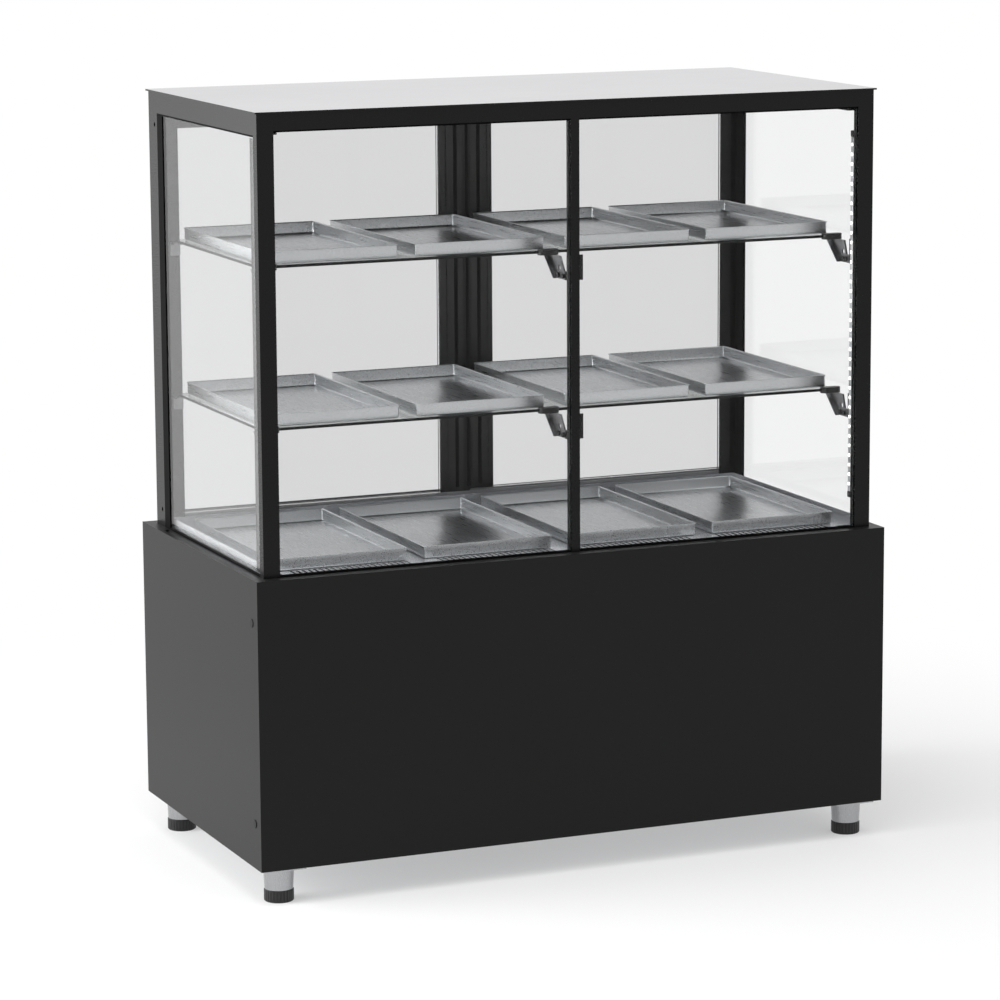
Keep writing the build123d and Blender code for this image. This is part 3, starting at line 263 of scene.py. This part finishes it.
# Painted parts and panes have lower indices of refraction than real ones, matched to the picture
finishes = {
    "cabinet": surface("cabinet_powder_coat", srgb(14, 14, 14), 0.05, (0.36, 0.42), 900, depth=0.000008,
                       IOR=1.27),
    "frame": surface("frame_powder_coat", srgb(8, 8, 8), 0.05, (0.24, 0.3), 500, depth=0.000002, IOR=1.27),
    "rim": surface("rim_powder_coat", srgb(16, 16, 16), 0.05, (0.4, 0.5), 900, depth=0.00001,
                   Specular_IOR_Level=0.3),
    # Roof and deck: their edge faces, and the deck's slot walls and underside, carry near-black painted
    # shade.
    "roof": sheet_with_painted_edge_shade("satin_roof_steel", srgb(196, 196, 198), srgb(201, 201, 203), 1.0, (0.28, 0.36),
                        0.000004, ROOF_TOP),
    "deck": sheet_with_painted_edge_shade("polished_deck_steel", srgb(212, 214, 217), srgb(220, 222, 225), 0.75, (0.16, 0.26),
                        0.000003, DECK_TOP),
    "tray": surface("brushed_tray_steel", srgb(188, 190, 192), 0.05, (0.24, 0.36), 800, BRUSH_Y, 0.000006,
                    Metallic=1.0),
    "bracket": bracket_steel("brushed_bracket_steel", PLATE_REAR),
    "chrome": surface("brushed_leg_chrome", srgb(168, 169, 171), 0.04, (0.2, 0.3), 900, BRUSH_Z, 0.000003,
                      Metallic=1.0),
    "track": surface("anodised_track", srgb(170, 171, 173), 0.03, (0.3, 0.4), 900, BRUSH_X, 0.000005,
                     Metallic=1.0),
    "door_frame": surface("black_door_frame", srgb(12, 12, 12), 0.05, (0.26, 0.28), 900, depth=0, IOR=1.42),
    # Black rubber, darker and duller than plain rubber, so the seals also give the shade of their recesses:
    # partly rubber colour, partly painted shade.
    "rubber": surface("black_rubber", srgb(4, 4, 4), 0.1, (0.6, 0.75), 1200, depth=0.00003,
                      Specular_IOR_Level=0.05),
    "plastic": surface("black_plastic", srgb(24, 24, 24), 0.08, (0.42, 0.55), 1500, depth=0.00002),
    "foot": surface("ribbed_foot_plastic", srgb(22, 22, 23), 0.08, (0.36, 0.48), 1500, depth=0.00002),
    # The cooling well's liner is dark grey as painted shade, for the dark well seen through the deck slots.
    "liner_shade": surface("moulded_liner_painted_shade", srgb(34, 35, 36), 0.04, (0.4, 0.5), 400, depth=0.00002),
    "coil": surface("coil_aluminium", srgb(190, 191, 194), 0.06, (0.3, 0.45), 900, BRUSH_Z, 0.00001,
                    Metallic=1.0),
    "zinc": galvanised("galvanised_sheet"),
    "compressor": surface("compressor_gloss_paint", srgb(18, 18, 19), 0.08, (0.18, 0.28), 300, depth=0.00004),
    "copper": surface("drawn_copper", srgb(190, 118, 84), 0.12, (0.2, 0.35), 500, depth=0.00001, patch=30,
                      Metallic=1.0),
    "screw": surface("black_screw", srgb(6, 6, 6), 0.08, (0.4, 0.5), 1500, depth=0.00001,
                     Specular_IOR_Level=0.2),
    "front_glass": clear_glass("front_glass", (0.95, 0.95, 0.95), 1.16),
    "side_glass": clear_glass("side_glass", (0.97, 0.975, 0.975), 1.3),
    "shelf_glass": clear_glass("shelf_glass", (0.965, 0.985, 0.975), 1.45),
    "door_glass": clear_glass("door_glass", (0.72, 0.72, 0.725), 1.12),
    # The glass edges are opaque near black: painted shade for the dark look of the edges, not a colour of the
    # glass.
    "glass_edge_shade": surface("ground_glass_edge_painted_shade", srgb(14, 16, 16), 0.1, (0.3, 0.4), 600, depth=0.000005,
                          Specular_IOR_Level=0.15),
    "print": surface("black_border_print", srgb(26, 26, 26), 0.05, (0.2, 0.3), 900, depth=0.000002),
    "strip": surface("light_strip_profile", srgb(205, 206, 208), 0.03, (0.3, 0.4), 900, BRUSH_Z, 0.000004,
                     Metallic=0.8),
    "lamp": glowing("lamp_lens", (1.0, 0.98, 0.94), 2.0),
}

node_finish = {
    "base_floor_pan": "zinc",
    "base_front_panel": "cabinet",
    "base_left_panel": "cabinet",
    "base_right_panel": "cabinet",
    "base_rear_panel": "cabinet",
    "base_top_rim": "rim",
    "cooling_well": "liner_shade",
    "display_deck": "deck",
    "leg_sleeves": "chrome",
    "front_post_left": "frame",
    "front_post_right": "frame",
    "rear_post_left": "frame",
    "rear_post_right": "frame",
    "centre_mullion": "frame",
    "front_top_rail": "frame",
    "side_top_rails": "frame",
    "rear_top_rail": "frame",
    "top_panel": "roof",
    "front_glass": "front_glass",
    "side_glass": "side_glass",
    "glass_seals": "rubber",
    "door_tracks": "track",
    "left_door_frame": "door_frame",
    "right_door_frame": "door_frame",
    "left_door_glass": "door_glass",
    "right_door_glass": "door_glass",
    "middle_shelf_glass": "shelf_glass",
    "upper_shelf_glass": "shelf_glass",
    "shelf_brackets": "bracket",
    "shelf_clips": "plastic",
    "light_strips": "strip",
    "evaporator_coil": "coil",
    "condenser_coil": "coil",
    "fan_shrouds": "zinc",
    "condenser_fan": "plastic",
    "evaporator_fan": "plastic",
    "compressor": "compressor",
    "compressor_mounts": "rubber",
    "refrigerant_pipes": "copper",
    "controller": "plastic",
    "switch_housing": "plastic",
    "light_switch": "plastic",
    "power_inlet": "plastic",
    "panel_screws": "screw",
}

for name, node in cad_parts.items():
    if name.startswith("levelling_foot"):
        finish = "foot"
    elif "_tray_" in name:
        finish = "tray"
    else:
        finish = node_finish[name]
    node.data.materials.clear()
    node.data.materials.append(finishes[finish])


# Mesh helpers

def add_piece(name, mesh, finish, body):
    """Puts a finished mesh in the scene as a piece that rides on a body."""
    piece = bpy.data.objects.new(name, mesh)
    bpy.context.scene.collection.objects.link(piece)
    mesh.materials.append(finishes[finish])
    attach(piece, body)
    return piece


def smooth(mesh, angle=40):
    """Smooth shading that keeps the sharp edges."""
    mesh.polygons.foreach_set("use_smooth", [True] * len(mesh.polygons))
    mesh.set_sharp_from_angle(angle=radians(angle))


def rounded_ring(half_x, half_y, radius, z, steps=6):
    """Points round a rounded rectangle at one height."""
    points = []
    corners = ((1, 1, 0), (-1, 1, 1), (-1, -1, 2), (1, -1, 3))
    for sx, sy, quarter in corners:
        for step in range(steps + 1):
            angle = (quarter + step / steps) * pi / 2
            points.append((sx * (half_x - radius) + radius * cos(angle),
                           sy * (half_y - radius) + radius * sin(angle), z))
    return points


def loft(name, rings, cap_first=True, cap_last=True):
    """A mesh through rings that have as many points each."""
    mesh = bpy.data.meshes.new(name)
    count = len(rings[0])
    points = [point for ring in rings for point in ring]
    faces = []
    for level in range(len(rings) - 1):
        for index in range(count):
            after = (index + 1) % count
            faces.append((level * count + index, level * count + after,
                          (level + 1) * count + after, (level + 1) * count + index))
    if cap_first:
        faces.append(tuple(reversed(range(count))))
    if cap_last:
        faces.append(tuple(range((len(rings) - 1) * count, len(rings) * count)))
    mesh.from_pydata(points, [], faces)
    smooth(mesh)
    return mesh


def bevelled_box(solid, low, high, width, segments=2):
    """Adds a box with rounded edges to a bmesh."""
    made = bmesh.ops.create_cube(solid, size=1)
    size = Vector(high) - Vector(low)
    middle = (Vector(high) + Vector(low)) / 2
    bmesh.ops.scale(solid, vec=size, verts=made["verts"])
    bmesh.ops.translate(solid, vec=middle, verts=made["verts"])
    edges = list({edge for vert in made["verts"] for edge in vert.link_edges})
    bmesh.ops.bevel(solid, geom=edges, offset=width, segments=segments, affect="EDGES", profile=0.5)


def mesh_from(solid, name):
    mesh = bpy.data.meshes.new(name)
    solid.to_mesh(mesh)
    solid.free()
    smooth(mesh)
    return mesh


# Trays

TRAY_SHEET = 0.9 * MM
TRAY_FLOOR_RADIUS = 4 * MM
TRAY_CORNER = 5 * MM
TRAY_LIP = 1.6 * MM


def tray_piece(node):
    """A pressed sheet pan with a rolled rim, in its node's place."""
    low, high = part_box(node)
    middle = (low + high) / 2
    half_x = (high.x - low.x) / 2
    half_y = (high.y - low.y) / 2
    wall = TRAY_LIP * 0.9
    profile = []
    for step in range(5):
        angle = step / 4 * pi / 2
        inset = wall + TRAY_FLOOR_RADIUS * (1 - sin(angle))
        profile.append((inset, low.z + TRAY_FLOOR_RADIUS * (1 - cos(angle))))
    rim_z = high.z - TRAY_LIP / 2
    profile.append((wall, rim_z - TRAY_LIP / 2))
    for step in range(9):
        angle = -pi / 2 + step / 8 * 1.5 * pi
        profile.append((TRAY_LIP / 2 - TRAY_LIP / 2 * cos(angle), rim_z + TRAY_LIP / 2 * sin(angle)))
    profile.append((wall + TRAY_SHEET, rim_z - TRAY_LIP / 2))
    inner = TRAY_FLOOR_RADIUS - TRAY_SHEET
    for step in range(5):
        angle = pi / 2 - step / 4 * pi / 2
        inset = wall + TRAY_SHEET + inner * (1 - sin(angle))
        profile.append((inset, low.z + TRAY_SHEET + inner * (1 - cos(angle))))
    rings = []
    for inset, z in profile:
        radius = max(TRAY_CORNER - inset, 0.4 * MM)
        ring = rounded_ring(half_x - inset, half_y - inset, radius, z)
        rings.append([(x + middle.x, y + middle.y, level) for x, y, level in ring])
    piece = add_piece(node + "_pan", loft(node + "_pan", rings), "tray", node)
    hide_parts(node)


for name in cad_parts:
    if "_tray_" in name:
        tray_piece(name)


# Panes and shelves, with painted shade (near black) on their ground edges

EDGE_BEVEL = 0.6 * MM
SHELF_CORNER = 6 * MM
PANE_GAP = 0.5 * MM
PANE_THICKNESS = 6 * MM
FLAT_FACE = 0.95


def shade_painted_edges(mesh, axis):
    """Keeps the faces along the axis flat and puts the near-black edge finish, painted shade, on all the
    others.
    """
    mesh.materials.append(finishes["glass_edge_shade"])
    for face in mesh.polygons:
        if abs(face.normal[axis]) < FLAT_FACE:
            face.material_index = 1
        else:
            face.use_smooth = False


def panes(name, node, finish, boxes, axis):
    """Glass panes that take the place of a node; their big faces look along the axis."""
    solid = bmesh.new()
    for low, high in boxes:
        bevelled_box(solid, low, high, EDGE_BEVEL)
    piece = add_piece(name, mesh_from(solid, name), finish, "cabinet")
    shade_painted_edges(piece.data, axis)
    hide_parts(node)


def two_boxes(low, high, inner):
    """The left and right parts of a box that is open between -inner and inner."""
    return [((low.x, low.y, low.z), (-inner, high.y, high.z)),
            ((inner, low.y, low.z), (high.x, high.y, high.z))]


def front_panes():
    low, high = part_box("front_glass")
    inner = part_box("centre_mullion")[1].x + PANE_GAP
    boxes = two_boxes(low, high, inner)
    panes("front_panes", "front_glass", "front_glass", boxes, 1)


def side_panes():
    low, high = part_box("side_glass")
    inner = high.x - PANE_THICKNESS
    boxes = two_boxes(low, high, inner)
    panes("side_panes", "side_glass", "side_glass", boxes, 0)


def shelf(node):
    """A glass shelf with rounded corners."""
    low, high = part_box(node)
    middle = (low + high) / 2
    half_x = (high.x - low.x) / 2
    half_y = (high.y - low.y) / 2
    rings = []
    levels = ((EDGE_BEVEL, low.z), (0, low.z + EDGE_BEVEL), (0, high.z - EDGE_BEVEL), (EDGE_BEVEL, high.z))
    for inset, z in levels:
        ring = rounded_ring(half_x - inset, half_y - inset, SHELF_CORNER - inset, z)
        rings.append([(x + middle.x, y + middle.y, level) for x, y, level in ring])
    piece = add_piece(node + "_plate", loft(node + "_plate", rings), "shelf_glass", "cabinet")
    shade_painted_edges(piece.data, 2)
    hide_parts(node)


front_panes()
side_panes()
shelf("middle_shelf_glass")
shelf("upper_shelf_glass")


# Printed borders on the side glass

BORDER_WIDTH = 27 * MM
PRINT_THICKNESS = 0.4 * MM
PRINT_GAP = 0.15 * MM
BORDER_END_GAP = 5 * MM


def border(side):
    """The black border printed inside the front edge of a side pane."""
    glass_low, glass_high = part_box("side_glass")
    inner = glass_high.x - PANE_THICKNESS - PRINT_GAP
    solid = bmesh.new()
    outer_x = side * inner
    inner_x = side * (inner - PRINT_THICKNESS)
    low = (min(outer_x, inner_x), glass_low.y + PRINT_GAP, glass_low.z + BORDER_END_GAP)
    high = (max(outer_x, inner_x), glass_low.y + BORDER_WIDTH, glass_high.z - BORDER_END_GAP)
    bevelled_box(solid, low, high, PRINT_THICKNESS / 3)
    name = "left_glass_border" if side < 0 else "right_glass_border"
    add_piece(name, mesh_from(solid, name), "print", "cabinet")


border(-1)
border(1)


# Black rubber strips: on the meeting stiles they are painted shade of the grooves and of the gap between the
# doors, on the rear posts they are seals

TRACK_HEIGHT = 22 * MM
STRIP_PROUD = 0.8 * MM
STRIP_END_GAP = 8 * MM
LEFT_STILE_STRIPS = ((-7.5 * MM, -0.5 * MM), (15.5 * MM, 21.5 * MM))
RIGHT_STILE_STRIPS = ((46.5 * MM, 53.5 * MM),)
POST_STRIP = (559.5 * MM, 570.5 * MM)


def seal_and_shade_strips(name, node, spans, body):
    """Thin upright strips on the front of a node, each between two X places."""
    low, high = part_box(node)
    rail_low, rail_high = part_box("door_tracks")
    bottom = rail_low.z + TRACK_HEIGHT + STRIP_END_GAP
    top = rail_high.z - TRACK_HEIGHT - STRIP_END_GAP
    solid = bmesh.new()
    for x0, x1 in spans:
        bevelled_box(solid, (x0, low.y - STRIP_PROUD, bottom), (x1, low.y, top), STRIP_PROUD / 3)
    add_piece(name, mesh_from(solid, name), "rubber", body)


# The stile strips are black rubber put where the grooves and the gap between the doors lie in shade: painted
# shade.
seal_and_shade_strips("left_stile_shade_strips", "left_door_frame", LEFT_STILE_STRIPS, "left_door")
seal_and_shade_strips("right_stile_shade_strips", "right_door_frame", RIGHT_STILE_STRIPS, "right_door")
seal_and_shade_strips("left_post_strip", "rear_post_left", ((-POST_STRIP[1], -POST_STRIP[0]),), "cabinet")
seal_and_shade_strips("right_post_strip", "rear_post_right", (POST_STRIP,), "cabinet")


# Light strips

LED_PITCH = 17.5 * MM
LED_SIZE = 5 * MM
LED_RISE = 1.3 * MM
STRIP_DEPTH = 8 * MM
CAP_HEIGHT = 11 * MM


def strip_part(name, boxes, rounding, finish):
    """One piece of a light strip, made of rounded boxes."""
    solid = bmesh.new()
    for low, high in boxes:
        bevelled_box(solid, low, high, rounding)
    return add_piece(name, mesh_from(solid, name), finish, "cabinet")


def light_strip(side):
    """An aluminium profile behind a front post, with end caps and a row of lamps."""
    name = "left_light" if side < 0 else "right_light"
    low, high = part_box("light_strips")
    inner = high.x - STRIP_DEPTH
    x0, x1 = sorted((side * high.x, side * inner))
    top, bottom = high.z - CAP_HEIGHT, low.z + CAP_HEIGHT
    profile = strip_part(name + "_profile", [((x0, low.y, bottom), (x1, high.y, top))], 0.6 * MM,
                         "strip")
    cap_x0, cap_x1 = sorted((side * high.x, side * (inner - LED_RISE)))
    strip_part(name + "_caps", [((cap_x0, low.y, low.z), (cap_x1, high.y, bottom)),
                                ((cap_x0, low.y, top), (cap_x1, high.y, high.z))],
               1.2 * MM, "plastic")
    middle_y = (low.y + high.y) / 2
    half = LED_SIZE / 2
    count = int((top - bottom) / LED_PITCH)
    first = (top + bottom) / 2 - (count - 1) * LED_PITCH / 2
    lamp_x0, lamp_x1 = sorted((side * inner, side * (inner - LED_RISE)))
    lamps = []
    for index in range(count):
        z = first + index * LED_PITCH
        lamps.append(((lamp_x0, middle_y - half, z - half), (lamp_x1, middle_y + half, z + half)))
    strip_part(name + "_lamps", lamps, 0.8 * MM, "lamp")
    return profile


strip = light_strip(-1)
light_strip(1)
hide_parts("light_strips")


# Camera, lights and floor

def add_camera():
    turn = (Matrix.Rotation(radians(CAMERA_PITCH), 4, "X") @ Matrix.Rotation(radians(CAMERA_ROLL), 4, "Y")
            @ Matrix.Rotation(radians(CAMERA_YAW), 4, "Z"))
    data = bpy.data.cameras.new("camera")
    data.sensor_width = SENSOR_MM
    data.lens = FOCAL_PIXELS / IMAGE_PIXELS * SENSOR_MM
    data.clip_end = 100
    camera = bpy.data.objects.new("camera", data)
    camera.matrix_world = Matrix.Translation(CAMERA_PLACE) @ turn @ Matrix.Rotation(pi / 2, 4, "X")
    bpy.context.scene.collection.objects.link(camera)
    bpy.context.scene.camera = camera


def add_lamp(name, place, target, size, power):
    data = bpy.data.lights.new(name, "AREA")
    data.shape = "RECTANGLE"
    data.size, data.size_y = size
    data.energy = power
    lamp = bpy.data.objects.new(name, data)
    lamp.location = place
    lamp.rotation_euler = (Vector(target) - Vector(place)).to_track_quat("-Z", "Y").to_euler()
    bpy.context.scene.collection.objects.link(lamp)


def add_world():
    """Even white light; what the camera, gloss and glass see of it is plain white."""
    world = bpy.data.worlds.new("studio")
    bpy.context.scene.world = world
    world.use_nodes = True
    tree = world.node_tree
    tree.nodes.clear()
    output = tree.nodes.new("ShaderNodeOutputWorld")
    light = tree.nodes.new("ShaderNodeBackground")
    light.inputs["Color"].default_value = (1, 1, 1, 1)
    light.inputs["Strength"].default_value = WORLD_LIGHT
    seen = tree.nodes.new("ShaderNodeBackground")
    seen.inputs["Color"].default_value = (1, 1, 1, 1)
    seen.inputs["Strength"].default_value = BACKGROUND_WHITE
    mix = tree.nodes.new("ShaderNodeMixShader")
    tree.links.new(seen_rays(tree), mix.inputs["Fac"])
    tree.links.new(light.outputs["Background"], mix.inputs[1])
    tree.links.new(seen.outputs["Background"], mix.inputs[2])
    tree.links.new(mix.outputs["Shader"], output.inputs["Surface"])


def seen_rays(tree):
    """1 for rays that come from the camera, a reflection or through glass."""
    rays = tree.nodes.new("ShaderNodeLightPath")
    total = rays.outputs["Is Camera Ray"]
    for other in ("Is Glossy Ray", "Is Transmission Ray"):
        add = tree.nodes.new("ShaderNodeMath")
        add.operation = "ADD"
        add.use_clamp = True
        tree.links.new(total, add.inputs[0])
        tree.links.new(rays.outputs[other], add.inputs[1])
        total = add.outputs["Value"]
    return total


FLOOR_SIZE = 60.0
FLOOR_COLOUR = 0.8
FLOOR_SEEN_COLOUR = 0.5
FLOOR_LIFT = 0.38
SHADOW_REACH = 0.75
WHITE_REACH = 2.0


def matt(tree, level):
    node = tree.nodes.new("ShaderNodeBsdfDiffuse")
    node.inputs["Color"].default_value = (level, level, level, 1)
    return node.outputs["BSDF"]


def glow(tree, level):
    node = tree.nodes.new("ShaderNodeEmission")
    node.inputs["Color"].default_value = (1, 1, 1, 1)
    node.inputs["Strength"].default_value = level
    return node.outputs["Emission"]


def blend(tree, factor, first, second):
    node = tree.nodes.new("ShaderNodeMixShader")
    tree.links.new(factor, node.inputs["Fac"])
    tree.links.new(first, node.inputs[1])
    tree.links.new(second, node.inputs[2])
    return node.outputs["Shader"]


def farness(tree):
    """0 round the case, 1 far out, by the distance from the middle of the floor."""
    place = tree.nodes.new("ShaderNodeTexCoord")
    length = tree.nodes.new("ShaderNodeVectorMath")
    length.operation = "LENGTH"
    tree.links.new(place.outputs["Object"], length.inputs[0])
    ramp = tree.nodes.new("ShaderNodeMapRange")
    ramp.interpolation_type = "SMOOTHSTEP"
    ramp.inputs["From Min"].default_value = SHADOW_REACH
    ramp.inputs["From Max"].default_value = WHITE_REACH
    tree.links.new(length.outputs["Value"], ramp.inputs["Value"])
    return ramp.outputs["Result"]


def add_floor():
    """A pale floor that keeps the shadow near the case and runs to white."""
    mesh = bpy.data.meshes.new("floor")
    half = FLOOR_SIZE / 2
    corners = [(-half, -half, 0), (half, -half, 0), (half, half, 0), (-half, half, 0)]
    mesh.from_pydata(corners, [], [(0, 1, 2, 3)])
    floor = bpy.data.objects.new("floor", mesh)
    bpy.context.scene.collection.objects.link(floor)
    material = bpy.data.materials.new("pale_floor")
    material.use_nodes = True
    tree = material.node_tree
    tree.nodes.clear()
    output = tree.nodes.new("ShaderNodeOutputMaterial")
    near = tree.nodes.new("ShaderNodeAddShader")
    tree.links.new(matt(tree, FLOOR_SEEN_COLOUR), near.inputs[0])
    tree.links.new(glow(tree, FLOOR_LIFT), near.inputs[1])
    seen = blend(tree, farness(tree), near.outputs["Shader"], glow(tree, BACKGROUND_WHITE))
    tree.links.new(blend(tree, seen_rays(tree), matt(tree, FLOOR_COLOUR), seen), output.inputs["Surface"])
    mesh.materials.append(material)


bpy.context.scene.view_settings.view_transform = "Standard"
add_camera()
add_world()
add_floor()
add_lamp("overhead", (-0.6, -1.2, 4.2), (0, 0, 0.6), (3.5, 3.5), 90)
add_lamp("left_key", (-4.5, 0.6, 1.8), (0, 0, 0.9), (3.0, 2.6), 240)
add_lamp("left_rear", (-3.36, 3.4, 1.5), (-0.5, 0, 0.9), (2.6, 2.2), 29)
